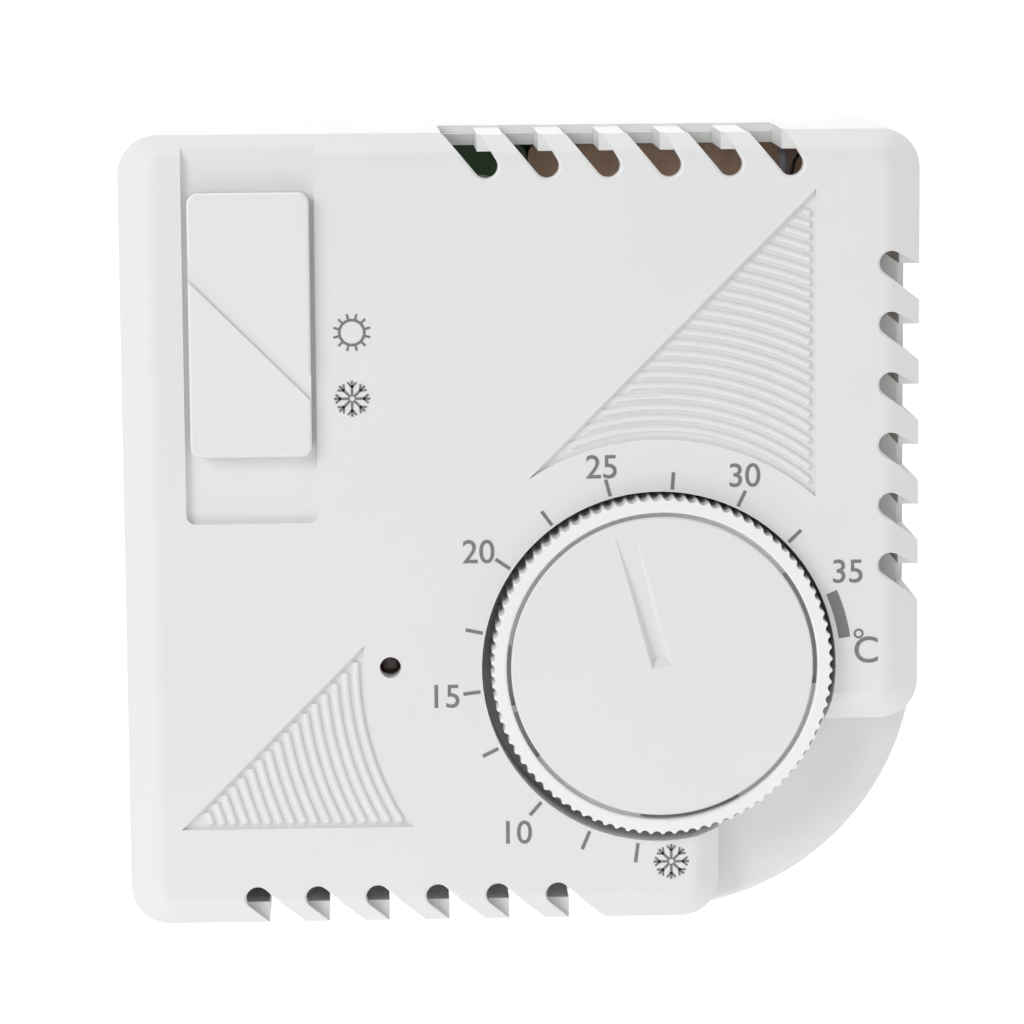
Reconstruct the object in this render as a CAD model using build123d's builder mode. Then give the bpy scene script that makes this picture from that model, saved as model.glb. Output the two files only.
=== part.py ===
"""Room thermostat for wall mounting: a housing, a louvred cover, a setting dial and its mechanism.

Millimetres, +Z up. The wall is the plane Y = 0 and the front faces -Y. Every height below is
measured from the wall towards the front, so a height h lies at Y = -h.
"""

import math
import os

from build123d import *

os.makedirs("parts", exist_ok=True)

# ---------------------------------------------------------------- driving dimensions
side = 82.0  # square outline
corner_r = 4.0  # outer corners
wall = 2.0  # moulded wall thickness

front_h = 28.0  # front face
shoulder_h = 26.5  # where the front bevel meets the side walls
parting_h = 13.5  # joint between housing and cover
bevel_side, bevel_end = 3.3, 2.4  # bevel width at left and right, at top and bottom

corner_x, corner_z = 14.0, -14.0  # centre of the round corner and of the grille arcs
well_x, well_z = 14.0, -14.35  # centre of the round opening the dial sits in
well_r = 18.35
dial_x, dial_z = 14.2, -14.0  # dial axis
well_floor_h, well_back_h = 21.6, 20.0
leg_edge = 20.25  # straight edges of the open corner
platform_h = 23.5  # finger platform in the open corner
platform_r = 27.0

grip_r, grip_inner_r = 17.62, 16.05
grip_top_h, grip_bottom_h = 29.9, 22.4
knurls = 90
cap_r = 15.6
web_top_h = 28.7

button_x, button_z = -27.75, 21.7  # selector button in its upper position
button_w, button_l = 12.4, 27.0
button_travel = 6.5
stem_z = 20.0

slot_pitch = 6.25
slots = 6
vent_r = 1.24
vent_edge = 0.22  # bevel round the slots

board_back_h, board_front_h = 9.0, 10.6  # circuit board and mechanism plate
board_posts = [(-33.0, 33.5), (-3.5, 33.5), (-33.5, -16.5), (-3.5, -16.5)]
plate_posts = [(5.5, 33.0), (31.5, 33.0), (31.5, -15.0), (5.0, -34.0)]
wall_screw_x = 30.0
cover_screw_x = dial_x - 15.6 * math.sqrt(0.5)
cover_screw_z = dial_z - 15.6 * math.sqrt(0.5)
lamp_x, lamp_z = -13.8, -14.0

capsule_r = 12.0
bracket_w, bracket_half = 12.0, 15.5

DIAL = (dial_x, dial_z)
WELL = (well_x, well_z)
CORNER = (corner_x, corner_z)
dial_axis = Axis((dial_x, 0, dial_z), (0, -1, 0))
corner_axis = Axis((corner_x, 0, corner_z), (0, -1, 0))


def at(h):
    """Sketch plane parallel to the wall; local x is X and local y is Z."""
    return Plane.XZ.offset(h)


def radial(angle, centre=DIAL):
    """Sketch plane through an axis of the front; local x is the radius and local y is the height."""
    c, s = math.cos(math.radians(angle)), math.sin(math.radians(angle))
    return Plane(origin=(centre[0], 0, centre[1]), x_dir=(c, 0, s), z_dir=(s, 0, -c))


def across(angle, r):
    """Sketch plane square to a radius of the dial; local y is the height."""
    c, s = math.cos(math.radians(angle)), math.sin(math.radians(angle))
    return Plane(origin=(dial_x + r * c, 0, dial_z + r * s), x_dir=(-s, 0, c), z_dir=(c, 0, s))


def housing_outline(inset=0.0):
    """Square outline whose lower right corner is one large arc."""
    r = platform_r - inset
    RectangleRounded(side - 2 * inset, side - 2 * inset, corner_r - inset)
    with Locations((corner_x + r / 2, corner_z - r / 2)):
        Rectangle(r, r, mode=Mode.SUBTRACT)
    with Locations(CORNER):
        Circle(r)


def cover_outline(inset_side, inset_end, inset_leg, radius, mode=Mode.ADD):
    """Square outline with the corner next to the dial left open."""
    x, z, leg = side / 2 - inset_side, side / 2 - inset_end, leg_edge - inset_leg
    with BuildLine() as outline:
        corners = [(-x, z), (x, z), (x, -leg), (leg, -leg), (leg, -z), (-x, -z)]
        FilletPolyline(*corners, radius=radius, close=True)
    make_face(outline.edges(), mode=mode)


def vent_slot(centre, mouth_a, mouth_b, r):
    """Round-ended slot whose two sides run out through the mouth points."""
    c, a, b = Vector(*centre), Vector(*mouth_a), Vector(*mouth_b)
    along = ((a + b) * 0.5 - c).normalized()
    across = Vector(-along.Y, along.X) * r
    if across.dot(a - c) < 0:
        across = across * -1
    near_a, near_b = c + across, c - across
    far_a, far_b = a + (a - near_a) * 0.4, b + (b - near_b) * 0.4
    with Locations((c.X, c.Y)):
        Circle(r)
    Polygon(*[(p.X, p.Y) for p in (near_a, far_a, far_b, near_b)], align=None)


# ---------------------------------------------------------------- rear housing
with BuildPart() as rear_housing:
    with BuildSketch(at(0)):
        housing_outline()
    extrude(amount=wall)
    with BuildSketch(at(wall)) as rim:
        housing_outline()
        with BuildSketch(mode=Mode.SUBTRACT):
            housing_outline(wall)
    extrude(amount=parting_h - wall)
    # tongue that the cover drops over
    with BuildSketch(at(parting_h)) as tongue:
        housing_outline(0.8)
        with BuildSketch(mode=Mode.SUBTRACT):
            housing_outline(wall)
        cover_outline(0.8, 0.8, 0.8, corner_r - 0.8, mode=Mode.INTERSECT)
    extrude(amount=1.1)
    # finger platform with its outer wall and the lip beside the dial
    with BuildSketch(at(platform_h - wall)) as platform:
        housing_outline()
        cover_outline(-0.2, -0.2, -0.2, corner_r + 0.2, mode=Mode.SUBTRACT)
        with Locations(WELL):
            Circle(well_r + 0.3, mode=Mode.SUBTRACT)
    extrude(amount=wall)
    with BuildSketch(at(parting_h)) as platform_wall:
        housing_outline()
        with BuildSketch(mode=Mode.SUBTRACT):
            housing_outline(wall)
        cover_outline(-0.2, -0.2, -0.2, corner_r + 0.2, mode=Mode.SUBTRACT)
    extrude(amount=platform_h - parting_h)
    with BuildSketch(at(19.0)) as platform_lip:
        with Locations(WELL):
            Circle(well_r + 1.8)
            Circle(well_r + 0.3, mode=Mode.SUBTRACT)
        cover_outline(-0.2, -0.2, -0.2, corner_r + 0.2, mode=Mode.SUBTRACT)
    extrude(amount=platform_h - 19.0)
    # soft outer edge of the platform
    fillet(
        rear_housing.faces().filter_by(lambda f: abs(f.center().Y + platform_h) < 1e-3).edges()
        .filter_by(lambda e: e.geom_type == GeomType.CIRCLE and e.radius > 26),
        radius=0.8,
    )
    # shelf along the inside of the right wall
    with BuildSketch(at(wall)) as shelf:
        with Locations((side / 2 - wall - 0.7, 10.5)):
            Rectangle(1.6, 39.0)
    extrude(amount=parting_h + 1.1 - wall)
    # posts for the circuit board and the mechanism plate
    with BuildSketch(at(wall)) as posts:
        with Locations(*board_posts, *plate_posts):
            Circle(2.5)
    extrude(amount=board_back_h - wall)
    with BuildSketch(at(wall)) as cover_boss:
        with Locations((cover_screw_x, cover_screw_z)):
            Circle(3.0)
    extrude(amount=well_back_h - 0.1 - wall)
    with BuildSketch(at(wall + 1.0)) as pilot_holes:
        with Locations(*board_posts, *plate_posts):
            Circle(1.2)
    extrude(amount=board_back_h, mode=Mode.SUBTRACT)
    with BuildSketch(at(8.0)) as cover_pilot:
        with Locations((cover_screw_x, cover_screw_z)):
            Circle(1.25)
    extrude(amount=well_back_h, mode=Mode.SUBTRACT)
    # wall screw slots and cable entry
    with BuildSketch(at(-1.0)) as back_openings:
        with Locations((-wall_screw_x, 0), (wall_screw_x, 0)):
            SlotOverall(6.0, 4.4)
        with Locations((-19.0, -12.0)):
            RectangleRounded(22.0, 14.0, 1.5)
    extrude(amount=wall + 2.0, mode=Mode.SUBTRACT)
    # pockets for the two cover hooks
    with BuildSketch(at(9.7)) as hook_pockets:
        with Locations((-side / 2 + wall - 0.5, 20.0), (-side / 2 + wall - 0.5, -20.0)):
            Rectangle(1.0, 6.6)
    extrude(amount=2.4, mode=Mode.SUBTRACT)
rear_housing.part.label = "rear_housing"
export_step(rear_housing.part, "parts/rear_housing.step")

# ---------------------------------------------------------------- front cover
grille_floor_h = front_h - 0.42
ridge_r = 0.36
ridge_gap = 0.62  # border of the grille to the middle of a ridge end
diagonal = 4.8  # the long side of each grille lies on z = x + diagonal
grille_right_x, grille_bottom_z = 30.2, -30.8

with BuildPart() as front_cover:
    with BuildSketch(at(parting_h)):
        cover_outline(0, 0, 0, corner_r)
    extrude(amount=shoulder_h - parting_h)
    with BuildSketch(at(shoulder_h)):
        cover_outline(0, 0, 0, corner_r)
    with BuildSketch(at(front_h)):
        cover_outline(bevel_side, bevel_end, bevel_end, 1.6)
    loft(ruled=True)
    fillet(front_cover.faces().sort_by(Axis.Y)[0].edges(), radius=2.2)
    # inside, below and beside the dial well
    with BuildSketch(at(parting_h)) as lower_cavity:
        cover_outline(wall, wall, wall, corner_r - wall)
        with Locations(WELL):
            Circle(well_r + 0.05)
    extrude(amount=well_back_h - parting_h, mode=Mode.SUBTRACT)
    with BuildSketch(at(well_back_h)) as upper_cavity:
        cover_outline(wall, wall, wall, corner_r - wall)
        with Locations(WELL):
            Circle(well_r + 1.5, mode=Mode.SUBTRACT)
    extrude(amount=front_h - wall - well_back_h, mode=Mode.SUBTRACT)
    with BuildSketch(at(well_floor_h)) as well:
        with Locations(WELL):
            Circle(well_r)
    extrude(amount=front_h, mode=Mode.SUBTRACT)
    with BuildSketch(at(well_back_h)) as well_floor:
        with Locations(WELL):
            Circle(well_r)
        with Locations(DIAL):
            Circle(5.3, mode=Mode.SUBTRACT)
    extrude(amount=well_floor_h - well_back_h)
    with BuildSketch(at(well_back_h - 1)) as spindle_hole:
        with Locations(DIAL):
            Circle(5.3)
    extrude(amount=4, mode=Mode.SUBTRACT)
    # rebate over the housing tongue
    with BuildSketch(at(parting_h)) as rebate:
        cover_outline(0.65, 0.65, 0.65, corner_r - 0.65)
    extrude(amount=1.3, mode=Mode.SUBTRACT)
    # countersunk hole for the cover screw
    with BuildSketch(at(well_back_h - 1)) as screw_hole:
        with Locations((cover_screw_x, cover_screw_z)):
            Circle(1.6)
    extrude(amount=4, mode=Mode.SUBTRACT)
    with BuildSketch(at(well_floor_h - 1.1)) as screw_seat_a:
        with Locations((cover_screw_x, cover_screw_z)):
            Circle(1.6)
    with BuildSketch(at(well_floor_h + 0.1)) as screw_seat_b:
        with Locations((cover_screw_x, cover_screw_z)):
            Circle(2.6)
    loft(mode=Mode.SUBTRACT)
    # vents on three sides: slanting slots in the front, upright windows in the walls behind them
    top_vents, right_vents, bottom_vents = [], [], []
    for i in range(slots):
        s = i * slot_pitch
        top_vents.append(((-3.5 + s, 37.55), (-8.0 + s, side / 2), (-4.1 + s, side / 2)))
        right_vents.append(((38.0, 27.3 - s), (side / 2, 27.1 - s), (side / 2, 23.4 - s)))
        bottom_vents.append(((-27.85 + s, -38.25), (-26.7 + s, -side / 2), (-22.9 + s, -side / 2)))
    with BuildSketch(at(front_h - wall - 0.1)) as vents:
        for centre, mouth_a, mouth_b in top_vents + right_vents + bottom_vents:
            vent_slot(centre, mouth_a, mouth_b, vent_r)
    extrude(amount=front_h, mode=Mode.SUBTRACT)
    with BuildSketch(at(front_h - vent_edge)) as vent_edges:
        for centre, mouth_a, mouth_b in top_vents + right_vents + bottom_vents:
            vent_slot(centre, mouth_a, mouth_b, vent_r)
    extrude(amount=2 * vent_edge, taper=-45, mode=Mode.SUBTRACT)
    with BuildSketch(at(parting_h - 0.5)) as windows:
        for i in range(slots):
            s = i * slot_pitch
            with Locations((-6.15 + s, side / 2), (-24.85 + s, -side / 2)):
                Rectangle(3.6, 2 * wall + 0.2)
            with Locations((side / 2, 25.25 - s)):
                Rectangle(2 * wall + 0.2, 3.7)
    extrude(amount=front_h - wall - parting_h + 0.5, mode=Mode.SUBTRACT)
    # shallow step along the top
    with BuildSketch(at(parting_h)) as top_step:
        with Locations((8.65, side / 2)):
            Rectangle(33.7, 0.5)
    extrude(amount=front_h, mode=Mode.SUBTRACT)
    # recess and opening for the selector button
    with BuildSketch(at(front_h - 0.7)) as recess:
        with Locations((button_x - 0.05, 1.2)):
            RectangleRounded(13.5, 90.0, 0.9, align=(Align.CENTER, Align.MIN))
    extrude(amount=3, mode=Mode.SUBTRACT)
    with BuildSketch(at(front_h - 4)) as stem_opening:
        with Locations((button_x, stem_z - button_travel / 2)):
            Rectangle(6.2, 5.4 + button_travel + 0.8)
    extrude(amount=8, mode=Mode.SUBTRACT)
    # lamp window
    with BuildSketch(at(front_h - 4)) as lamp_window:
        with Locations((lamp_x, lamp_z)):
            Circle(1.1)
    extrude(amount=8, mode=Mode.SUBTRACT)
    # two triangular fields, each bounded by an arc
    with BuildSketch(at(grille_floor_h)) as fields:
        Polygon(
            (-2, -2 + diagonal), (grille_right_x, grille_right_x + diagonal), (grille_right_x, -2), align=None
        )
        with Locations((corner_x, corner_z - 1.1)):
            Circle(24.5, mode=Mode.SUBTRACT)
    extrude(amount=2, mode=Mode.SUBTRACT)
    with BuildSketch(at(grille_floor_h)) as lower_field:
        Polygon(
            (grille_bottom_z - diagonal, grille_bottom_z), (-14, -14 + diagonal), (-8, grille_bottom_z), align=None
        )
        with Locations(CORNER):
            Circle(30.6, mode=Mode.SUBTRACT)
    extrude(amount=2, mode=Mode.SUBTRACT)
    # hooks on the left wall
    for hook_z in (20.0, -20.0):
        with BuildSketch(at(10.0)) as hook:
            with Locations((-side / 2 + wall + 1.0, hook_z)):
                Rectangle(1.4, 6.0)
        extrude(amount=front_h - wall - 10.0 + 0.5)
        with BuildSketch(at(10.0)) as hook_nose:
            with Locations((-side / 2 + wall + 0.1, hook_z)):
                Rectangle(1.4, 6.0)
        extrude(amount=1.5)
    # rounded ridges of both fields, concentric with those arcs
    upper_reach = (28 + diagonal) - ridge_gap * math.sqrt(2)
    right_reach = grille_right_x - corner_x - ridge_gap
    low_reach = corner_z - grille_bottom_z - ridge_gap
    arcs = []
    for i in range(24):
        r = 24.55 + 1.113 * i
        start = math.degrees(math.acos(right_reach / r))
        end = 45 + math.degrees(math.asin(upper_reach / (r * math.sqrt(2))))
        arcs.append((r, start, end))
    for i in range(19):
        r = 31.35 + 1.118 * i
        start = 225 - math.degrees(math.asin(upper_reach / (r * math.sqrt(2))))
        end = 180 + math.degrees(math.asin(low_reach / r))
        arcs.append((r, start, end))
    for r, start, end in arcs:
        if math.radians(end - start) * r < 0.5:
            continue
        with BuildSketch(radial(start, CORNER)):
            with Locations((r, grille_floor_h + 0.02)):
                Circle(ridge_r)
        revolve(axis=corner_axis, revolution_arc=end - start, mode=Mode.ADD)
front_cover.part.label = "front_cover"
export_step(front_cover.part, "parts/front_cover.step")

# ---------------------------------------------------------------- dial
with BuildPart() as grip_ring:
    with BuildSketch(radial(0)) as ring_profile:
        with BuildLine() as ring_line:
            FilletPolyline(
                (grip_inner_r, grip_bottom_h), (grip_r, grip_bottom_h), (grip_r, grip_top_h),
                (grip_inner_r, grip_top_h), radius=0.22, close=True,
            )
        make_face(ring_line.edges())
    revolve(axis=dial_axis)
    # web between the rim and the hub
    with BuildSketch(at(web_top_h - 1.2)) as web:
        with Locations(DIAL):
            Circle(grip_inner_r + 0.3)
    extrude(amount=1.2)
    # arc-shaped pockets at the edge of the web
    with BuildSketch(at(web_top_h - 0.8)) as pockets:
        for start, end in ((-7.6, 36.7), (171.8, 194.6), (197.4, 216.4), (262.0, 300.0)):
            with BuildLine() as pocket:
                CenterArc(DIAL, grip_inner_r, start, end - start)
                CenterArc(DIAL, grip_inner_r - 0.75, start, end - start)
                for t in (start, end):
                    c, s = math.cos(math.radians(t)), math.sin(math.radians(t))
                    Line(
                        (dial_x + grip_inner_r * c, dial_z + grip_inner_r * s),
                        (dial_x + (grip_inner_r - 0.75) * c, dial_z + (grip_inner_r - 0.75) * s),
                    )
            make_face(pocket.edges())
    extrude(amount=0.8, mode=Mode.SUBTRACT)
    with BuildSketch(at(23.0)) as hub:
        with Locations(DIAL):
            Circle(5.0)
    extrude(amount=web_top_h - 1.2 - 23.0)
    # D-shaped bore for the spindle
    with BuildSketch(at(22.9)) as bore:
        with Locations(DIAL):
            Circle(3.05)
        with Locations((dial_x, dial_z + 3.05)):
            Rectangle(8, 1.6, mode=Mode.SUBTRACT)
    extrude(amount=4.7, mode=Mode.SUBTRACT)
    # knurls round the rim
    with BuildSketch(at(grip_bottom_h - 1)) as knurling:
        with Locations(DIAL):
            with PolarLocations(grip_r + 0.2, knurls):
                Circle(0.54)
    extrude(amount=10, mode=Mode.SUBTRACT)
grip_ring.part.label = "grip_ring"
export_step(grip_ring.part, "parts/grip_ring.step")

pointer_angle, pointer_w = 105.2, 2.15
cap_top_h = web_top_h + 1.1
with BuildPart() as dial_cap:
    with BuildSketch(at(web_top_h)):
        with Locations(DIAL):
            Circle(cap_r)
    extrude(amount=cap_top_h - web_top_h)
    fillet(dial_cap.faces().sort_by(Axis.Y)[0].edges(), radius=0.2)
    # pointer groove with sloping sides, deepest near the centre and running out towards the rim
    for r, depth, floor_w in ((0.0, 0.02, 2.1), (0.95, 0.85, 1.2), (8.0, 0.55, 1.5), (14.6, 0.03, 2.1)):
        with BuildSketch(across(pointer_angle, r)):
            half_w, half_f, top = pointer_w / 2, floor_w / 2, cap_top_h + 0.5
            Polygon(
                (-half_w, cap_top_h), (-half_f, cap_top_h - depth), (half_f, cap_top_h - depth),
                (half_w, cap_top_h), (half_w, top), (-half_w, top), align=None,
            )
    loft(ruled=True, mode=Mode.SUBTRACT)
dial_cap.part.label = "dial_cap"
export_step(dial_cap.part, "parts/dial_cap.step")

with BuildPart() as dial_spindle:
    with BuildSketch(radial(0)):
        with BuildLine() as spindle_line:
            Polyline(
                (0, 15.5), (1.6, 15.5), (1.9, 15.8), (1.9, 17.4), (2.5, 17.4), (2.5, 17.85), (2.05, 17.85),
                (2.05, 18.45), (2.5, 18.45), (2.5, 20.7), (3.0, 20.7), (3.0, 27.3), (2.7, 27.5), (0, 27.5),
                close=True,
            )
        make_face(spindle_line.edges())
    revolve(axis=dial_axis)
    with BuildSketch(at(22.95)) as spindle_flat:
        with Locations((dial_x, dial_z + 3.05)):
            Rectangle(8, 1.7)
    extrude(amount=6, mode=Mode.SUBTRACT)
dial_spindle.part.label = "dial_spindle"
export_step(dial_spindle.part, "parts/dial_spindle.step")

with BuildPart() as spindle_bushing:
    with BuildSketch(radial(0)):
        with BuildLine() as bushing_line:
            Polyline((2.55, 18.6), (3.6, 18.6), (3.6, 19.6), (4.6, 19.6), (4.6, 20.6), (2.55, 20.6), close=True)
        make_face(bushing_line.edges())
    revolve(axis=dial_axis)
spindle_bushing.part.label = "spindle_bushing"
export_step(spindle_bushing.part, "parts/spindle_bushing.step")

with BuildPart() as retaining_ring:
    with BuildSketch(at(17.9)):
        with Locations(DIAL):
            Circle(3.6)
            Circle(2.08, mode=Mode.SUBTRACT)
        with Locations((dial_x, dial_z - 3.0)):
            Rectangle(2.6, 3.0, mode=Mode.SUBTRACT)
    extrude(amount=0.5)
retaining_ring.part.label = "retaining_ring"
export_step(retaining_ring.part, "parts/retaining_ring.step")

# ---------------------------------------------------------------- mechanism
with BuildPart() as mechanism_bracket:
    with BuildSketch(Plane.YZ.offset(dial_x - bracket_w / 2)) as bracket_side:
        with BuildLine() as bracket_line:
            y0, y1, t = -board_front_h, -19.6, 1.0
            z0, z1, foot = dial_z - bracket_half, dial_z + bracket_half, 5.0
            FilletPolyline(
                (y0, z0 - foot), (y0, z0 + t), (y1 + t, z0 + t), (y1 + t, z1 - t), (y0, z1 - t), (y0, z1 + foot),
                (y0 - t, z1 + foot), (y0 - t, z1), (y1, z1), (y1, z0), (y0 - t, z0), (y0 - t, z0 - foot),
                radius=0.3, close=True,
            )
        make_face(bracket_line.edges())
    extrude(amount=bracket_w)
    with BuildSketch(at(18)) as bushing_hole:
        with Locations(DIAL):
            Circle(3.6)
    extrude(amount=3, mode=Mode.SUBTRACT)
    with BuildSketch(at(board_front_h - 1)) as foot_holes:
        with Locations((dial_x, z0 - 2.9), (dial_x, z1 + 2.9)):
            Circle(1.4)
    extrude(amount=3, mode=Mode.SUBTRACT)
    # guide slot for the capsule carrier
    with BuildSketch(at(15.2)) as guide_slot:
        with Locations((dial_x, z1)):
            Rectangle(3.5, 4)
    extrude(amount=2.5, mode=Mode.SUBTRACT)
mechanism_bracket.part.label = "mechanism_bracket"
export_step(mechanism_bracket.part, "parts/mechanism_bracket.step")

with BuildPart() as mechanism_plate:
    with BuildSketch(at(board_back_h)) as plate:
        with Locations((18.5, 0.75)):
            RectangleRounded(34.0, 75.9, 1.0)
        with Locations((wall_screw_x + 5, 0)):
            Rectangle(19, 10, mode=Mode.SUBTRACT)
        with Locations((20 + 15, -20 - 15)):
            Rectangle(30, 30, mode=Mode.SUBTRACT)
        with Locations(*plate_posts):
            Circle(1.35, mode=Mode.SUBTRACT)
        with Locations((dial_x, z0 - 2.9), (dial_x, z1 + 2.9)):
            Circle(1.25, mode=Mode.SUBTRACT)
        with Locations((cover_screw_x, cover_screw_z)):
            Circle(3.4, mode=Mode.SUBTRACT)
        with Locations(DIAL):
            Circle(1.8, mode=Mode.SUBTRACT)
        with Locations((dial_x - 4.6, dial_z), (dial_x + 4.6, dial_z)):
            Circle(1.1, mode=Mode.SUBTRACT)
    extrude(amount=board_front_h - board_back_h)
mechanism_plate.part.label = "mechanism_plate"
export_step(mechanism_plate.part, "parts/mechanism_plate.step")

with BuildPart() as capsule_carrier:
    with BuildSketch(at(15.0)):
        with Locations(DIAL):
            Circle(3.4)
    extrude(amount=2.0)
    with BuildSketch(at(16.0)) as guide_arm:
        with Locations((dial_x, dial_z + 8.25)):
            Rectangle(3.0, 16.5)
    extrude(amount=1.0)
    with BuildSketch(at(14)) as thread_bore:
        with Locations(DIAL):
            Circle(1.95)
    extrude(amount=5, mode=Mode.SUBTRACT)
capsule_carrier.part.label = "capsule_carrier"
export_step(capsule_carrier.part, "parts/capsule_carrier.step")

half = [(4.0, 1.2), (4.8, 0.75), (5.8, 1.1), (6.8, 0.65), (7.8, 0.95), (8.8, 0.45), (9.8, 0.7), (10.8, 0.3)]
with BuildPart() as capsule_front_shell:
    with BuildSketch(radial(0)):
        with BuildLine() as front_line:
            upper = [(r, 13.8 + h) for r, h in half]
            lower = [(r, 13.8 + h - 0.3) for r, h in half]
            Polyline((0, 15.0), *upper, (capsule_r, 14.1), (capsule_r, 13.8), *lower[::-1], (0, 14.7), close=True)
        make_face(front_line.edges())
    revolve(axis=dial_axis)
capsule_front_shell.part.label = "capsule_front_shell"
export_step(capsule_front_shell.part, "parts/capsule_front_shell.step")

with BuildPart() as capsule_rear_shell:
    with BuildSketch(radial(0)):
        with BuildLine() as rear_line:
            outer = [(r, 13.8 - h) for r, h in half]
            inner = [(r, 13.8 - h + 0.3) for r, h in half]
            Polyline(
                (2.05, 12.6), *outer, (capsule_r, 13.5), (capsule_r, 13.8), *inner[::-1], (2.05, 12.9), close=True
            )
        make_face(rear_line.edges())
    revolve(axis=dial_axis)
capsule_rear_shell.part.label = "capsule_rear_shell"
export_step(capsule_rear_shell.part, "parts/capsule_rear_shell.step")

with BuildPart() as capsule_stud:
    with BuildSketch(radial(0)):
        with BuildLine() as stud_line:
            Polyline(
                (0, 11.7), (1.5, 11.7), (2.0, 12.2), (2.0, 13.45), (3.0, 13.45), (3.0, 14.2), (0, 14.2), close=True
            )
        make_face(stud_line.edges())
    revolve(axis=dial_axis)
capsule_stud.part.label = "capsule_stud"
export_step(capsule_stud.part, "parts/capsule_stud.step")

with BuildPart() as snap_switch_body:
    with BuildSketch(at(2.5)):
        with Locations(DIAL):
            RectangleRounded(12.8, 5.8, 0.4)
    extrude(amount=board_back_h - 2.5)
    with BuildSketch(at(board_back_h)) as pegs:
        with Locations((dial_x - 4.6, dial_z), (dial_x + 4.6, dial_z)):
            Circle(1.0)
    extrude(amount=2.1)
    with BuildSketch(at(7.5)) as plunger_bore:
        with Locations(DIAL):
            Circle(1.25)
    extrude(amount=5, mode=Mode.SUBTRACT)
snap_switch_body.part.label = "snap_switch_body"
export_step(snap_switch_body.part, "parts/snap_switch_body.step")

with BuildPart() as snap_switch_plunger:
    with BuildSketch(at(8.0)):
        with Locations(DIAL):
            Circle(1.2)
    extrude(amount=3.0)
    fillet(snap_switch_plunger.faces().sort_by(Axis.Y)[0].edges(), radius=0.4)
snap_switch_plunger.part.label = "snap_switch_plunger"
export_step(snap_switch_plunger.part, "parts/snap_switch_plunger.step")

terminal_z = dial_z - 2.9 - 1.9
with BuildPart() as snap_switch_terminals:
    with BuildSketch(at(3.25)):
        with Locations((dial_x - 5, terminal_z), (dial_x, terminal_z), (dial_x + 5, terminal_z)):
            Rectangle(2.0, 3.8)
    extrude(amount=0.5)
snap_switch_terminals.part.label = "snap_switch_terminals"
export_step(snap_switch_terminals.part, "parts/snap_switch_terminals.step")


def pan_screws(places, seat_h, length, shank_r, head_r, head_h, slot=0.6):
    """Screws whose heads stand on a seat and whose shanks run towards the wall."""
    with BuildPart() as screws:
        with BuildSketch(at(seat_h - length)):
            with Locations(*places):
                Circle(shank_r)
        extrude(amount=length)
        with BuildSketch(at(seat_h)):
            with Locations(*places):
                Circle(head_r)
        extrude(amount=head_h)
        with BuildSketch(at(seat_h + head_h - 0.6)) as drive:
            with Locations(*places):
                Rectangle(2 * head_r + 1, slot)
                Rectangle(slot, 2 * head_r * 0.62)
        extrude(amount=2, mode=Mode.SUBTRACT)
    return screws


feet = [(dial_x, z0 - 2.9), (dial_x, z1 + 2.9)]
bracket_screws = pan_screws(feet, board_front_h + 1.0, 3.4, 1.2, 2.0, 1.3)
bracket_screws.part.label = "bracket_screws"
export_step(bracket_screws.part, "parts/bracket_screws.step")
board_screws = pan_screws(board_posts, board_front_h, 6.5, 1.1, 2.2, 1.4)
board_screws.part.label = "board_screws"
export_step(board_screws.part, "parts/board_screws.step")
plate_screws = pan_screws(plate_posts, board_front_h, 6.5, 1.1, 2.2, 1.4)
plate_screws.part.label = "plate_screws"
export_step(plate_screws.part, "parts/plate_screws.step")

with BuildPart() as cover_screw:
    with BuildSketch(Plane(origin=(cover_screw_x, 0, cover_screw_z), x_dir=(1, 0, 0), z_dir=(0, 0, -1))):
        with BuildLine() as screw_line:
            Polyline((0, 11.0), (0.9, 11.6), (1.2, 12.2), (1.2, 20.4), (2.25, 21.5), (0, 21.5), close=True)
        make_face(screw_line.edges())
    revolve(axis=Axis((cover_screw_x, 0, cover_screw_z), (0, -1, 0)))
    with BuildSketch(at(20.8)) as cover_screw_drive:
        with Locations((cover_screw_x, cover_screw_z)):
            Rectangle(2.6, 0.6)
            Rectangle(0.6, 2.6)
    extrude(amount=3, mode=Mode.SUBTRACT)
cover_screw.part.label = "cover_screw"
export_step(cover_screw.part, "parts/cover_screw.step")

# ---------------------------------------------------------------- selector
with BuildPart() as slide_button:
    with BuildSketch(at(front_h - 0.6)):
        with Locations((button_x, button_z)):
            RectangleRounded(button_w, button_l, 1.1)
    extrude(amount=1.8)
    fillet(slide_button.faces().sort_by(Axis.Y)[0].edges(), radius=0.3)
    # shallow diagonal band
    with BuildSketch(at(front_h + 0.8)) as band:
        x0, x1 = button_x - button_w, button_x + button_w
        Polygon(
            (x0, button_z + 0.95 + button_w), (x1, button_z + 0.95 - button_w),
            (x1, button_z - 1.6 - button_w), (x0, button_z - 1.6 + button_w), align=None,
        )
    extrude(amount=2, mode=Mode.SUBTRACT)
    # socket over the switch actuator
    with BuildSketch(at(21.5)) as stem:
        with Locations((button_x, stem_z)):
            RectangleRounded(5.4, 5.4, 0.5)
    extrude(amount=front_h - 0.6 - 21.5)
    with BuildSketch(at(21.0)) as socket:
        with Locations((button_x, stem_z)):
            Rectangle(3.6, 3.6)
    extrude(amount=5.5, mode=Mode.SUBTRACT)
slide_button.part.label = "slide_button"
export_step(slide_button.part, "parts/slide_button.step")

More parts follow.
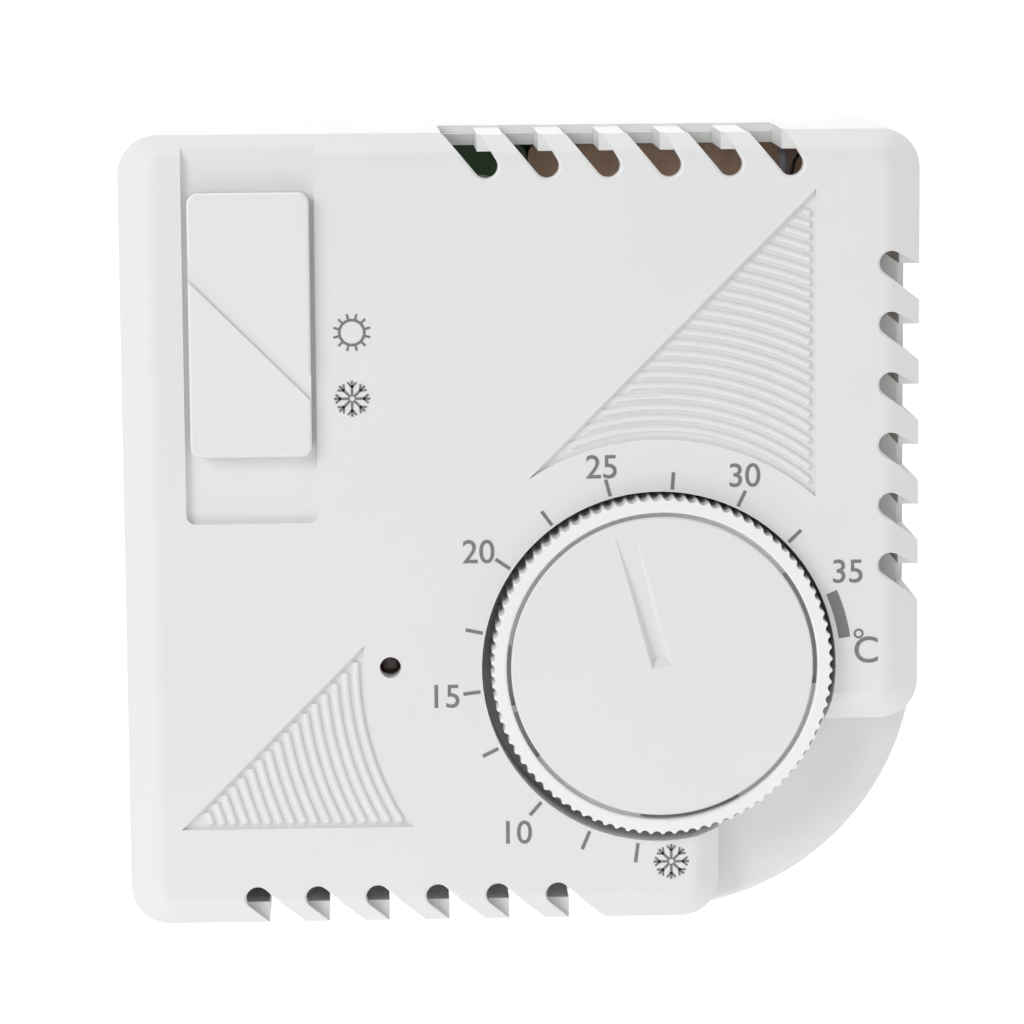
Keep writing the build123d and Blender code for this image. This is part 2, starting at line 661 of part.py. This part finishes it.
switch_z = stem_z - button_travel / 2
with BuildPart() as slide_switch_body:
    with BuildSketch(at(board_front_h)):
        with Locations((button_x, switch_z)):
            RectangleRounded(8.5, 18.0, 0.4)
    extrude(amount=6.0)
    with BuildSketch(at(13.0)) as actuator_slot:
        with Locations((button_x, switch_z)):
            Rectangle(3.8, 3.4 + button_travel + 0.6)
    extrude(amount=6, mode=Mode.SUBTRACT)
slide_switch_body.part.label = "slide_switch_body"
export_step(slide_switch_body.part, "parts/slide_switch_body.step")

with BuildPart() as slide_switch_actuator:
    with BuildSketch(at(13.2)):
        with Locations((button_x, stem_z)):
            Rectangle(3.4, 3.4)
    extrude(amount=13.1)
    chamfer(slide_switch_actuator.faces().sort_by(Axis.Y)[0].edges(), length=0.3)
slide_switch_actuator.part.label = "slide_switch_actuator"
export_step(slide_switch_actuator.part, "parts/slide_switch_actuator.step")

pin_places = [(button_x + dx, switch_z + dz) for dx in (-2.5, 2.5) for dz in (-4.0, 0.0, 4.0)]
with BuildPart() as slide_switch_pins:
    with BuildSketch(at(7.9)):
        with Locations(*pin_places):
            Circle(0.35)
    extrude(amount=board_front_h - 7.9)
slide_switch_pins.part.label = "slide_switch_pins"
export_step(slide_switch_pins.part, "parts/slide_switch_pins.step")

# ---------------------------------------------------------------- circuit board and its parts
resistors = [(-14.5, 27.5), (-14.5, 20.0), (-14.5, 5.0)]
lead_span = 5.2
lamp_legs = [(lamp_x - 1.27, lamp_z), (lamp_x + 1.27, lamp_z)]

with BuildPart() as circuit_board:
    with BuildSketch(at(board_back_h)):
        with Locations((-17.75, 9.35)):
            RectangleRounded(38.1, 58.7, 1.0)
        with Locations((-wall_screw_x - 5, 0)):
            Rectangle(19, 10, mode=Mode.SUBTRACT)
        with Locations(*board_posts):
            Circle(1.35, mode=Mode.SUBTRACT)
        with Locations(*pin_places):
            Circle(0.5, mode=Mode.SUBTRACT)
        with Locations(*lamp_legs):
            Circle(0.4, mode=Mode.SUBTRACT)
        with Locations(*[(x + d, z) for x, z in resistors for d in (-lead_span, lead_span)]):
            Circle(0.45, mode=Mode.SUBTRACT)
    extrude(amount=board_front_h - board_back_h)
circuit_board.part.label = "circuit_board"
export_step(circuit_board.part, "parts/circuit_board.step")

with BuildPart() as resistor_bodies:
    for x, z in resistors:
        with BuildSketch(Plane.YZ.offset(x - 3.2)):
            with Locations((-board_front_h - 1.6, z)):
                Circle(1.15)
        extrude(amount=6.4)
resistor_bodies.part.label = "resistor_bodies"
export_step(resistor_bodies.part, "parts/resistor_bodies.step")

with BuildPart() as resistor_leads:
    for x, z in resistors:
        for d in (-1, 1):
            y = -board_front_h - 1.6
            with BuildLine() as lead:
                FilletPolyline(
                    (x + d * 3.2, y, z), (x + d * lead_span, y, z), (x + d * lead_span, -8.2, z), radius=0.7
                )
            with BuildSketch(Plane(origin=lead.line @ 0, z_dir=lead.line % 0)):
                Circle(0.3)
            sweep(path=lead.line)
resistor_leads.part.label = "resistor_leads"
export_step(resistor_leads.part, "parts/resistor_leads.step")

with BuildPart() as indicator_spacer:
    with BuildSketch(at(board_front_h)):
        with Locations((lamp_x, lamp_z)):
            Circle(2.5)
        with Locations(*lamp_legs):
            Circle(0.4, mode=Mode.SUBTRACT)
    extrude(amount=20.5 - board_front_h)
indicator_spacer.part.label = "indicator_spacer"
export_step(indicator_spacer.part, "parts/indicator_spacer.step")

with BuildPart() as indicator_lens:
    with BuildSketch(at(20.5)):
        with Locations((lamp_x, lamp_z)):
            Circle(1.9)
    extrude(amount=0.9)
    with BuildSketch(at(21.4)):
        with Locations((lamp_x, lamp_z)):
            Circle(1.5)
    extrude(amount=4.5)
    fillet(indicator_lens.faces().sort_by(Axis.Y)[0].edges(), radius=1.3)
indicator_lens.part.label = "indicator_lens"
export_step(indicator_lens.part, "parts/indicator_lens.step")

with BuildPart() as indicator_leads:
    with BuildSketch(at(8.0)):
        with Locations(*lamp_legs):
            Circle(0.25)
    extrude(amount=20.5 - 8.0)
indicator_leads.part.label = "indicator_leads"
export_step(indicator_leads.part, "parts/indicator_leads.step")

# ---------------------------------------------------------------- terminals and leads
poles = [-30.5 + 6.0 * i for i in range(5)]
block_z0, block_z1 = -36.5, -24.5
with BuildPart() as terminal_block:
    with BuildSketch(at(wall)):
        with Locations((-18.5, (block_z0 + block_z1) / 2)):
            RectangleRounded(31.0, 12.0, 0.5)
    extrude(amount=11.5)
    for x in poles:
        with BuildSketch(Plane.XY.offset(block_z1 - 8.0)) as wire_way:
            with Locations((x, -5.5)):
                Rectangle(4.0, 4.2)
        extrude(amount=9.0, mode=Mode.SUBTRACT)
    with BuildSketch(at(6.0)) as screw_ways:
        with Locations(*[(x, -29.5) for x in poles]):
            Circle(2.0)
    extrude(amount=12, mode=Mode.SUBTRACT)
terminal_block.part.label = "terminal_block"
export_step(terminal_block.part, "parts/terminal_block.step")

with BuildPart() as terminal_clamps:
    for x in poles:
        with BuildSketch(Plane.XY.offset(-32.3)) as clamp:
            with Locations((x, -5.5)):
                Rectangle(3.8, 4.0)
                Circle(1.3, mode=Mode.SUBTRACT)
        extrude(amount=6.0)
terminal_clamps.part.label = "terminal_clamps"
export_step(terminal_clamps.part, "parts/terminal_clamps.step")

with BuildPart() as terminal_screws:
    with BuildSketch(at(7.5)):
        with Locations(*[(x, -29.5) for x in poles]):
            Circle(1.2)
    extrude(amount=2.0)
    with BuildSketch(at(9.3)):
        with Locations(*[(x, -29.5) for x in poles]):
            Circle(1.8)
    extrude(amount=1.6)
    with BuildSketch(at(10.3)):
        with Locations(*[(x, -29.5) for x in poles]):
            Rectangle(5, 0.6)
    extrude(amount=2, mode=Mode.SUBTRACT)
terminal_screws.part.label = "terminal_screws"
export_step(terminal_screws.part, "parts/terminal_screws.step")


def lead_wire(radius, points, start_dir, end_dir, straight=1.0):
    """Insulated lead through (x, height, z) points, straight for a little at both ends."""
    path_points = [Vector(x, -h, z) for x, h, z in points]
    start, end = Vector(*start_dir), Vector(*end_dir)
    a, b = path_points[0] + start * straight, path_points[-1] - end * straight
    with BuildPart() as wire:
        with BuildLine() as path:
            Line(path_points[0], a)
            Spline(a, *path_points[1:-1], b, tangents=[start, end])
            Line(b, path_points[-1])
        with BuildSketch(Plane(origin=path_points[0], z_dir=start)):
            Circle(radius)
        sweep(path=path.wires()[0])
    return wire


lead_wire_black = lead_wire(
    0.2, [(30.2, 10.6, 37.8), (29.5, 13.4, 37.0), (29.0, 13.9, 35.4), (28.7, 13.6, 31.0), (28.4, 10.6, 25.5)],
    (0, -1, 0), (0, 1, 0),
)
lead_wire_black.part.label = "lead_wire_black"
export_step(lead_wire_black.part, "parts/lead_wire_black.step")
lead_wire_grey = lead_wire(
    0.5, [(28.4, 10.6, 37.9), (28.4, 12.2, 35.5), (28.0, 12.2, 31.5), (26.5, 10.6, 28.0)],
    (0, -1, 0), (0, 1, 0), straight=0.6,
)
lead_wire_grey.part.label = "lead_wire_grey"
export_step(lead_wire_grey.part, "parts/lead_wire_grey.step")
lead_wire_brown = lead_wire(
    0.7, [(-6.5, 5.5, -26.2), (-3.5, 5.8, -21.6), (1.5, 5.4, -20.2), (8.0, 3.5, -19.6)],
    (0, 0, 1), (1, 0, 0),
)
lead_wire_brown.part.label = "lead_wire_brown"
export_step(lead_wire_brown.part, "parts/lead_wire_brown.step")
lead_wire_blue = lead_wire(
    0.6, [(-12.5, 5.5, -26.2), (-8.5, 3.4, -21.8), (0.0, 2.8, -21.6), (9.0, 2.9, -23.0), (19.2, 3.5, -20.7)],
    (0, 0, 1), (0, 0, 1),
)
lead_wire_blue.part.label = "lead_wire_blue"
export_step(lead_wire_blue.part, "parts/lead_wire_blue.step")
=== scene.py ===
import math

import bmesh
import bpy
from mathutils import Euler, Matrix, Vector


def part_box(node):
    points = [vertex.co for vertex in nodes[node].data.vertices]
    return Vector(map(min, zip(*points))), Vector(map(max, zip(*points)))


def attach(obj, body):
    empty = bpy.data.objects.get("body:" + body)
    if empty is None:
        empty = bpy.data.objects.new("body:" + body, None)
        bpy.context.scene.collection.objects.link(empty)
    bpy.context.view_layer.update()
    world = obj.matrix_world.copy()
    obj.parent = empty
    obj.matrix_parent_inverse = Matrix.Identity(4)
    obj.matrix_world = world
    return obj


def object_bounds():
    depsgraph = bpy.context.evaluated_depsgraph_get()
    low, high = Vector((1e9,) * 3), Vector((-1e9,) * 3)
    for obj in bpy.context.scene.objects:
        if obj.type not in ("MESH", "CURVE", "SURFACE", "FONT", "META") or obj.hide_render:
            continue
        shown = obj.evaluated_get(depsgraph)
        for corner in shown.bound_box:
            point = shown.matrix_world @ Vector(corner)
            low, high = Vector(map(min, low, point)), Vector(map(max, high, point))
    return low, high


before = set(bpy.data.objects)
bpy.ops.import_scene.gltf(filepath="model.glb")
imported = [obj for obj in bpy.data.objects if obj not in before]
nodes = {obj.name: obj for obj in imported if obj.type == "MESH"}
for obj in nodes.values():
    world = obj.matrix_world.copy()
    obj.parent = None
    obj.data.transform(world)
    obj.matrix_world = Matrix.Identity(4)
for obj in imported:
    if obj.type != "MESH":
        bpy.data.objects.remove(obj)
size_at_load = [list(map(float, corner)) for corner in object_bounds()]
MM = 0.001


# ---------------------------------------------------------------- places taken from the frame
cover_lo, cover_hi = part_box("front_cover")
FRONT = cover_lo.y
CX = (cover_lo.x + cover_hi.x) / 2
CZ = (cover_lo.z + cover_hi.z) / 2
WX, WZ = CX + 14.0 * MM, CZ - 14.4 * MM  # centre of the scale


# ---------------------------------------------------------------- materials
class Mat:
    """A node material built step by step on a Principled shader."""

    def __init__(self, name):
        self.m = bpy.data.materials.new(name)
        self.m.use_nodes = True
        self.t = self.m.node_tree
        self.t.nodes.clear()
        self.out = self.t.nodes.new("ShaderNodeOutputMaterial")
        self.b = self.t.nodes.new("ShaderNodeBsdfPrincipled")
        self.t.links.new(self.b.outputs[0], self.out.inputs[0])
        self.co = self.t.nodes.new("ShaderNodeTexCoord").outputs["Object"]

    def n(self, kind, **kw):
        node = self.t.nodes.new(kind)
        for k, v in kw.items():
            if k in node.inputs:
                self.put(node.inputs[k], v)
            else:
                setattr(node, k, v)
        return node

    def put(self, socket, v):
        if isinstance(v, bpy.types.NodeSocket):
            self.t.links.new(v, socket)
        else:
            socket.default_value = v

    def noise(self, scale, detail=3.0, stretch=None):
        co = self.co
        if stretch:
            mp = self.n("ShaderNodeMapping")
            mp.inputs["Scale"].default_value = stretch
            self.t.links.new(co, mp.inputs["Vector"])
            co = mp.outputs[0]
        nz = self.n("ShaderNodeTexNoise", Scale=scale, Detail=detail)
        self.t.links.new(co, nz.inputs["Vector"])
        return nz.outputs[0]

    def ramp(self, fac, stops):
        r = self.n("ShaderNodeValToRGB")
        self.t.links.new(fac, r.inputs[0])
        e = r.color_ramp.elements
        while len(e) < len(stops):
            e.new(0.5)
        for el, (pos, col) in zip(e, stops):
            el.position = pos
            el.color = (*col, 1) if len(col) == 3 else col
        return r.outputs[0]

    def rng(self, fac, lo, hi, flo=0.3, fhi=0.7):
        mr = self.n("ShaderNodeMapRange")
        self.t.links.new(fac, mr.inputs[0])
        mr.inputs[1].default_value, mr.inputs[2].default_value = flo, fhi
        mr.inputs[3].default_value, mr.inputs[4].default_value = lo, hi
        return mr.outputs[0]

    def bump(self, fac, strength, distance):
        bp = self.n("ShaderNodeBump", Strength=strength, Distance=distance)
        self.t.links.new(fac, bp.inputs["Height"])
        if self.b.inputs["Normal"].is_linked:
            prev = self.b.inputs["Normal"].links[0].from_socket
            self.t.links.new(prev, bp.inputs["Normal"])
        self.t.links.new(bp.outputs[0], self.b.inputs["Normal"])

    def set(self, **kw):
        for k, v in kw.items():
            self.put(self.b.inputs[k.replace("_", " ")], v)
        return self


def shade(c, k):
    return tuple(min(1.0, x * k) for x in c)


def plastic(name, base, rough=0.45, grain=900.0, depth=0.00003, strength=0.25, spread=0.02, coat=0.0):
    """Moulded plastic: spark-eroded grain, faint tone drift and slight wear in the gloss."""
    m = Mat(name)
    tone = m.noise(55.0, 4.0)
    m.set(Base_Color=m.ramp(tone, [(0.3, shade(base, 1 - spread)), (0.7, shade(base, 1 + spread))]))
    m.set(Roughness=m.rng(m.noise(160.0, 5.0), rough - 0.05, rough + 0.07))
    m.bump(m.noise(grain, 2.0), strength, depth)
    m.set(Coat_Weight=coat, Coat_Roughness=0.3)
    return m.m


def metal(name, base, rough=0.3, stretch=(1, 1, 1), grain=500.0, spread=0.06):
    m = Mat(name)
    m.set(Metallic=1.0)
    n1 = m.noise(grain, 4.0, stretch)
    m.set(Base_Color=m.ramp(m.noise(120.0, 3.0), [(0.3, shade(base, 1 - spread)), (0.7, shade(base, 1 + spread))]))
    m.set(Roughness=m.rng(n1, rough - 0.08, rough + 0.12))
    m.bump(n1, 0.15, 0.00002)
    return m.m


WHITE = (0.775, 0.78, 0.775)
abs_white = plastic("abs_white", WHITE, 0.5, 1500.0, 0.00002, 0.35, 0.012)
abs_housing = plastic("abs_housing", shade(WHITE, 1.0), 0.5, 1500.0, 0.00002, 0.35, 0.012)
abs_button = plastic("abs_button", shade(WHITE, 1.01), 0.45, 1500.0, 0.00002, 0.25, 0.01)
abs_dial = plastic("abs_dial", shade(WHITE, 1.0), 0.42, 1500.0, 0.00002, 0.3, 0.012)
# grip ring: the same white plastic with its colour raised 12 %, a painted highlight standing in for the light its
# rounded knurled rim catches
rim_white_painted_highlight = plastic("rim_white_painted_highlight", shade(WHITE, 1.12), 0.33, 900.0, 0.00001, 0.12, 0.01, 0.15)
black_plastic = plastic("black_plastic", (0.035, 0.035, 0.038), 0.5)
grey_plastic = plastic("grey_plastic", (0.30, 0.31, 0.33), 0.45)
red_plastic = plastic("red_plastic", (0.55, 0.04, 0.03), 0.35)
resistor_paint = plastic("resistor_paint", (0.50, 0.40, 0.26), 0.3, coat=0.4)
steel = metal("zinc_steel", (0.62, 0.62, 0.60), 0.34)
tinned = metal("tinned_wire", (0.75, 0.75, 0.73), 0.25)
brass = metal("turned_brass", (0.78, 0.58, 0.28), 0.28)
bronze = metal("spring_bronze", (0.72, 0.50, 0.28), 0.3)
wire_black = plastic("wire_black", (0.02, 0.02, 0.022), 0.4, 300.0)
wire_grey = plastic("wire_grey", (0.42, 0.42, 0.48), 0.4, 300.0)
wire_brown = plastic("wire_brown", (0.14, 0.06, 0.03), 0.4, 300.0)
wire_blue = plastic("wire_blue", (0.05, 0.12, 0.38), 0.4, 300.0)


def laminate():
    m = Mat("phenolic_laminate")
    fibre = m.noise(700.0, 6.0, (1.0, 1.0, 0.12))
    m.set(Base_Color=m.ramp(fibre, [(0.3, (0.70, 0.46, 0.33)), (0.7, (0.82, 0.58, 0.44))]))
    m.set(Roughness=m.rng(m.noise(90.0), 0.38, 0.55))
    m.bump(fibre, 0.2, 0.00003)
    return m.m


def board():
    m = Mat("green_board")
    weave = m.noise(500.0, 3.0)
    wide = m.noise(70.0, 1.0)
    m.set(Base_Color=m.ramp(wide, [(0.46, (0.045, 0.15, 0.04)), (0.5, (0.08, 0.23, 0.07))]))
    m.set(Roughness=m.rng(weave, 0.22, 0.38))
    m.bump(weave, 0.15, 0.00003)
    m.set(Coat_Weight=0.4, Coat_Roughness=0.2)
    return m.m


def lens():
    m = Mat("lamp_lens")
    n = m.noise(200.0)
    m.set(Base_Color=m.ramp(n, [(0.3, (0.045, 0.02, 0.018)), (0.7, (0.09, 0.03, 0.025))]))
    m.set(Roughness=m.rng(n, 0.05, 0.12), Transmission_Weight=0.35, IOR=1.5, Coat_Weight=0.8)
    return m.m


def ink():
    m = Mat("grey_ink")
    n = m.noise(2500.0, 3.0)
    m.set(Base_Color=m.ramp(n, [(0.3, (0.185, 0.175, 0.175)), (0.7, (0.225, 0.215, 0.215))]))
    m.set(Roughness=m.rng(n, 0.45, 0.6))
    m.bump(n, 0.1, 0.00001)
    return m.m


grey_ink = ink()
finish = {
    "rear_housing": abs_housing, "front_cover": abs_white, "grip_ring": rim_white_painted_highlight, "dial_cap": abs_dial,
    "slide_button": abs_button, "dial_spindle": steel, "spindle_bushing": brass, "retaining_ring": steel,
    "mechanism_bracket": steel, "mechanism_plate": laminate(), "capsule_carrier": brass,
    "capsule_front_shell": bronze, "capsule_rear_shell": bronze, "capsule_stud": brass,
    "snap_switch_body": black_plastic, "snap_switch_plunger": red_plastic, "snap_switch_terminals": tinned,
    "bracket_screws": steel, "board_screws": steel, "plate_screws": steel, "cover_screw": steel,
    "slide_switch_body": black_plastic, "slide_switch_actuator": black_plastic, "slide_switch_pins": tinned,
    "circuit_board": board(), "resistor_bodies": resistor_paint, "resistor_leads": tinned,
    "indicator_spacer": black_plastic, "indicator_lens": lens(), "indicator_leads": tinned,
    "terminal_block": grey_plastic, "terminal_clamps": brass, "terminal_screws": steel,
    "lead_wire_black": wire_black, "lead_wire_grey": wire_grey, "lead_wire_brown": wire_brown,
    "lead_wire_blue": wire_blue,
}
for name, obj in nodes.items():
    obj.data.materials.clear()
    obj.data.materials.append(finish.get(name, abs_white))


# ---------------------------------------------------------------- printed marks on the cover
INK_H = 0.03 * MM  # how far a print stands out of the cover
INK_SINK = 0.002 * MM  # how far it reaches into the cover


def plate(name, outlines):
    """A thin closed print on the cover, from flat outlines given as lists of (x, z) points in metres."""
    bm = bmesh.new()
    for pts in outlines:
        back = [bm.verts.new((x, FRONT + INK_SINK, z)) for x, z in pts]
        front = [bm.verts.new((x, FRONT - INK_H, z)) for x, z in pts]
        n = len(pts)
        bm.faces.new(front)
        bm.faces.new(back[::-1])
        for i in range(n):
            j = (i + 1) % n
            bm.faces.new((front[i], back[i], back[j], front[j]))
    bmesh.ops.recalc_face_normals(bm, faces=bm.faces)
    me = bpy.data.meshes.new(name)
    bm.to_mesh(me)
    bm.free()
    ob = bpy.data.objects.new(name, me)
    bpy.context.scene.collection.objects.link(ob)
    me.materials.append(grey_ink)
    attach(ob, "housing")


def bar(x0, z0, x1, z1, w):
    d = Vector((x1 - x0, z1 - z0)).normalized() * (w / 2)
    n = Vector((-d.y, d.x))
    return [(x0 + n.x, z0 + n.y), (x0 - n.x, z0 - n.y), (x1 - n.x, z1 - n.y), (x1 + n.x, z1 + n.y)]


def arc_band(cx, cz, r0, r1, a0, a1, steps=12):
    out = [(cx + r1 * math.cos(math.radians(a0 + (a1 - a0) * i / steps)),
            cz + r1 * math.sin(math.radians(a0 + (a1 - a0) * i / steps))) for i in range(steps + 1)]
    inn = [(cx + r0 * math.cos(math.radians(a1 - (a1 - a0) * i / steps)),
            cz + r0 * math.sin(math.radians(a1 - (a1 - a0) * i / steps))) for i in range(steps + 1)]
    return out + inn


def ring(cx, cz, r0, r1, parts=4):
    return [arc_band(cx, cz, r0, r1, 360 / parts * k, 360 / parts * (k + 1), 10) for k in range(parts)]


# scale ticks round the dial; the two lowest are a little longer
TICK_ANGLES = (105.5, 85.7, 64.0, 44.0, 126.2, 145.5, 168.0, 187.0, 206.3, 228.7, 247.0, 263.0)
ticks = []
for a in TICK_ANGLES:
    c, s = math.cos(math.radians(a)), math.sin(math.radians(a))
    inner, outer = 18.65 * MM, (20.7 if a > 240 else 20.45) * MM
    ticks.append(bar(WX + inner * c, WZ + inner * s, WX + outer * c, WZ + outer * s, 0.36 * MM))
ticks.append(arc_band(WX, WZ, 18.85 * MM, 20.05 * MM, 8.6, 23.2, 16))
plate("scale_marks", ticks)


def snow(cx, cz, r, w=0.27 * MM):
    shapes = []
    for k in range(8):
        a = math.radians(45 * k)
        d = Vector((math.cos(a), math.sin(a)))
        shapes.append(bar(cx + d.x * 0.25 * MM, cz + d.y * 0.25 * MM, cx + d.x * r, cz + d.y * r, w))
        for sgn in (-1, 1):
            b = a + sgn * math.radians(40)
            tip = Vector((cx + d.x * r * 0.62, cz + d.y * r * 0.62))
            e = tip + Vector((math.cos(b), math.sin(b))) * r * 0.38
            shapes.append(bar(tip.x, tip.y, e.x, e.y, w * 0.8))
    return shapes


def sun(cx, cz):
    shapes = ring(cx, cz, 1.14 * MM, 1.42 * MM)
    for k in range(12):
        a = math.radians(15 + 30 * k)
        shapes.append(bar(cx + 1.4 * MM * math.cos(a), cz + 1.4 * MM * math.sin(a),
                          cx + 1.95 * MM * math.cos(a), cz + 1.95 * MM * math.sin(a), 0.24 * MM))
    return shapes


plate("sun_mark", sun(CX - 17.35 * MM, CZ + 20.8 * MM))
plate("snow_mark_selector", snow(CX - 17.4 * MM, CZ + 14.0 * MM, 1.85 * MM))
plate("snow_mark_scale", snow(CX + 15.2 * MM, CZ - 34.9 * MM, 1.85 * MM))
plate("degree_ring", ring(CX + 34.7 * MM, CZ - 11.1 * MM, 0.3 * MM, 0.52 * MM))


CAP_RATIO = 0.729  # height of a capital over the size of the font


def figure(name, text, cx, cz, cap=2.52):
    """A printed figure as a thin closed mesh, centred on (cx, cz)."""
    cu = bpy.data.curves.new(name, "FONT")
    cu.body = text
    cu.size = cap * MM / CAP_RATIO
    cu.extrude = INK_H / 2
    cu.offset = 0.02 * MM
    cu.align_x, cu.align_y = "CENTER", "BOTTOM_BASELINE"
    tmp = bpy.data.objects.new(name + "_t", cu)
    bpy.context.scene.collection.objects.link(tmp)
    bpy.context.view_layer.update()
    me = bpy.data.meshes.new_from_object(tmp.evaluated_get(bpy.context.evaluated_depsgraph_get()))
    bpy.data.objects.remove(tmp)
    xs = [v.co.x for v in me.vertices]
    ys = [v.co.y for v in me.vertices]
    mid = Vector(((min(xs) + max(xs)) / 2, (min(ys) + max(ys)) / 2, 0))
    for v in me.vertices:
        x, z, depth = v.co.x - mid.x, v.co.y - mid.y, v.co.z
        v.co = (cx + x, FRONT - INK_H / 2 + INK_SINK - depth, cz + z)
    bm = bmesh.new()
    bm.from_mesh(me)
    bmesh.ops.remove_doubles(bm, verts=bm.verts, dist=1e-7)
    bmesh.ops.recalc_face_normals(bm, faces=bm.faces)
    bm.to_mesh(me)
    bm.free()
    me.name = name
    me.materials.clear()
    me.materials.append(grey_ink)
    ob = bpy.data.objects.new(name, me)
    bpy.context.scene.collection.objects.link(ob)
    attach(ob, "housing")


for txt, u, v in (("25", 8.1, 6.65), ("30", 22.9, 5.6), ("35", 33.55, -4.55), ("20", -4.6, -2.0),
                  ("15", -8.0, -17.1), ("10", -0.65, -31.55)):
    figure("figure_" + txt, txt, CX + u * MM, CZ + v * MM)
figure("unit_C", "C", CX + 35.5 * MM, CZ - 12.8 * MM, cap=2.85)


# ---------------------------------------------------------------- floor, light, camera
HANG = 0.25  # the object hangs this far above the floor
low = min(c[2] for c in size_at_load) - HANG


def paper():
    m = Mat("pale_paper")
    n = m.noise(6.0, 2.0)
    m.set(Base_Color=m.ramp(n, [(0.3, (0.93, 0.93, 0.93)), (0.7, (0.95, 0.95, 0.95))]), Roughness=0.9)
    return m.m


bm = bmesh.new()
profile = [(-3.0, low)] + [(0.6 + 0.6 * math.sin(math.radians(t)), low + 0.6 - 0.6 * math.cos(math.radians(t)))
                           for t in range(0, 91, 6)] + [(1.2, 3.0)]
rows = [[bm.verts.new((x, y, z)) for y, z in profile] for x in (-4.0, 4.0)]
for i in range(len(profile) - 1):
    bm.faces.new((rows[0][i], rows[1][i], rows[1][i + 1], rows[0][i + 1]))
me = bpy.data.meshes.new("floor")
bm.to_mesh(me)
bm.free()
for p in me.polygons:
    p.use_smooth = True
floor = bpy.data.objects.new("floor", me)
bpy.context.scene.collection.objects.link(floor)
me.materials.append(paper())

scene = bpy.context.scene
world = bpy.data.worlds.new("studio")
scene.world = world
world.use_nodes = True
world.node_tree.nodes["Background"].inputs[0].default_value = (1, 1, 1, 1)
world.node_tree.nodes["Background"].inputs[1].default_value = 0.53


def softbox(name, loc, target, w, h, power):
    """A soft area light that the camera doesn't see."""
    li = bpy.data.lights.new(name, "AREA")
    li.shape = "RECTANGLE"
    li.size, li.size_y = w, h
    li.energy = power
    ob = bpy.data.objects.new(name, li)
    ob.location = loc
    ob.rotation_euler = (Vector(target) - Vector(loc)).to_track_quat("-Z", "Y").to_euler()
    ob.visible_camera = False
    scene.collection.objects.link(ob)


softbox("key", (-0.85, -0.75, 0.5), (0, 0, 0), 0.6, 0.6, 6.2)
softbox("from_right", (0.9, -0.35, 0.15), (0, 0, 0), 0.5, 0.5, 0.9)
softbox("from_below", (0.0, -0.25, -0.24), (0, 0, 0), 0.4, 0.2, 0.19)
softbox("backdrop_light", (0.0, 0.2, 0.7), (0, 1.2, -0.1), 1.2, 0.5, 8.0)

cam = bpy.data.cameras.new("camera")
cam.lens, cam.sensor_width = 154.7, 36.0
cam_ob = bpy.data.objects.new("camera", cam)
cam_ob.location = (-0.01742, -0.47566, 0.06642)
cam_ob.rotation_euler = Euler([math.radians(a) for a in (81.826, 0.442, -2.149)])
scene.collection.objects.link(cam_ob)
scene.camera = cam_ob
scene.view_settings.view_transform = "Standard"
scene.view_settings.look = "None"
scene.view_settings.exposure = 0.0
